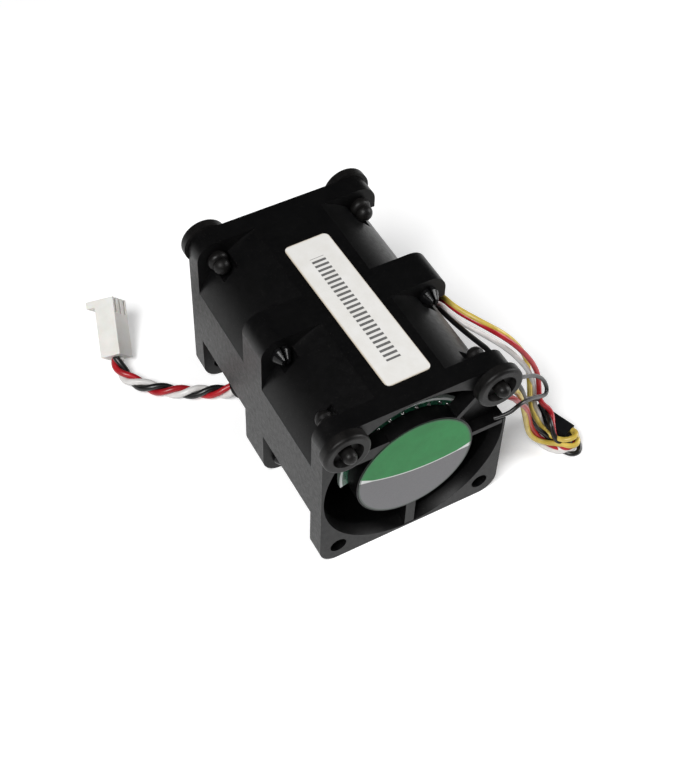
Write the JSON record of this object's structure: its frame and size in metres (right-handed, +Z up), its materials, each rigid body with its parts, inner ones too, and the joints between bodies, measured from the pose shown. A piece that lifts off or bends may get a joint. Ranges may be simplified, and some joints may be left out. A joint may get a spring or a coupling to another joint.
{
  "type": "server fan module",
  "caption": "Square black server fan module: two counter-rotating axial fans joined in line, with rubber pins, coloured leads and two connectors.",
  "frame": {"origin": "bottom centre of the housing, in the joint between the two fans", "axes": "+Y along the air flow, from the label face to the back; +Z up; +X to the right seen from the label face"},
  "size_m": [0.0806, 0.0802, 0.0408],
  "materials": {
    "bearing_steel": "ground bearing steel",
    "board_laminate": "green solder mask",
    "component_black": "moulded chips",
    "connector_black": "black nylon",
    "connector_white": "natural white nylon",
    "copper_winding": "enamelled copper wire",
    "cup_steel": "zinc-plated drawn steel",
    "frame_plastic": "moulded black plastic, satin",
    "impeller_plastic": "moulded black plastic, satin",
    "insulator_plastic": "natural nylon",
    "label_print": "round label, green over grey",
    "lead_black": "black insulation",
    "lead_mixed": "red, white and black strands",
    "lead_red": "red insulation",
    "lead_white": "white insulation",
    "lead_yellow": "yellow insulation",
    "magnet_rubber": "bonded ferrite",
    "pin_rubber": "soft black rubber",
    "shaft_steel": "ground steel",
    "silicon_steel": "stacked sheet steel",
    "snap_plastic": "glossy black nylon",
    "spring_steel": "spring steel",
    "sticker_paper": "white label stock",
    "terminal_metal": "tinned brass"
  },
  "bodies": {
    "housing": {"black_connector": "connector_black", "front_black_lead": "lead_black", "front_board_components": "component_black", "front_circuit_board": "board_laminate", "front_frame": "frame_plastic", "front_front_bearing": "bearing_steel", "front_label": "label_print", "front_left_pin": "pin_rubber", "front_preload_spring": "spring_steel", "front_rear_bearing": "bearing_steel", "front_red_lead": "lead_red", "front_right_pin": "pin_rubber", "front_stator_core": "silicon_steel", "front_stator_insulator": "insulator_plastic", "front_stator_windings": "copper_winding", "front_white_lead": "lead_white", "front_yellow_lead": "lead_yellow", "joint_snaps": "snap_plastic", "lead_exit_collar": "pin_rubber", "lead_fold": "lead_mixed", "lead_tie": "lead_black", "rear_black_lead": "lead_black", "rear_board_components": "component_black", "rear_circuit_board": "board_laminate", "rear_frame": "frame_plastic", "rear_front_bearing": "bearing_steel", "rear_left_pin": "pin_rubber", "rear_preload_spring": "spring_steel", "rear_rear_bearing": "bearing_steel", "rear_red_lead": "lead_red", "rear_right_pin": "pin_rubber", "rear_stator_core": "silicon_steel", "rear_stator_insulator": "insulator_plastic", "rear_stator_windings": "copper_winding", "rear_white_lead": "lead_white", "rear_yellow_lead": "lead_yellow", "top_sticker": "sticker_paper", "twisted_lead": "lead_mixed", "white_connector": "connector_white", "white_connector_terminals": "terminal_metal"},
    "front_rotor": {"front_impeller": "impeller_plastic", "front_rotor_cup": "cup_steel", "front_ring_magnet": "magnet_rubber", "front_shaft": "shaft_steel", "front_retaining_ring": "spring_steel"},
    "rear_rotor": {"rear_impeller": "impeller_plastic", "rear_rotor_cup": "cup_steel", "rear_ring_magnet": "magnet_rubber", "rear_shaft": "shaft_steel", "rear_retaining_ring": "spring_steel"}
  },
  "joints": [
    {"name": "front_spin", "type": "hinge", "parent": "housing", "child": "front_rotor", "pos_m": [0, -0.0105, 0.02], "axis": [0, 1, 0], "continuous": true},
    {"name": "rear_spin", "type": "hinge", "parent": "housing", "child": "rear_rotor", "pos_m": [0, 0.0175, 0.02], "axis": [0, 1, 0], "continuous": true}
  ]
}
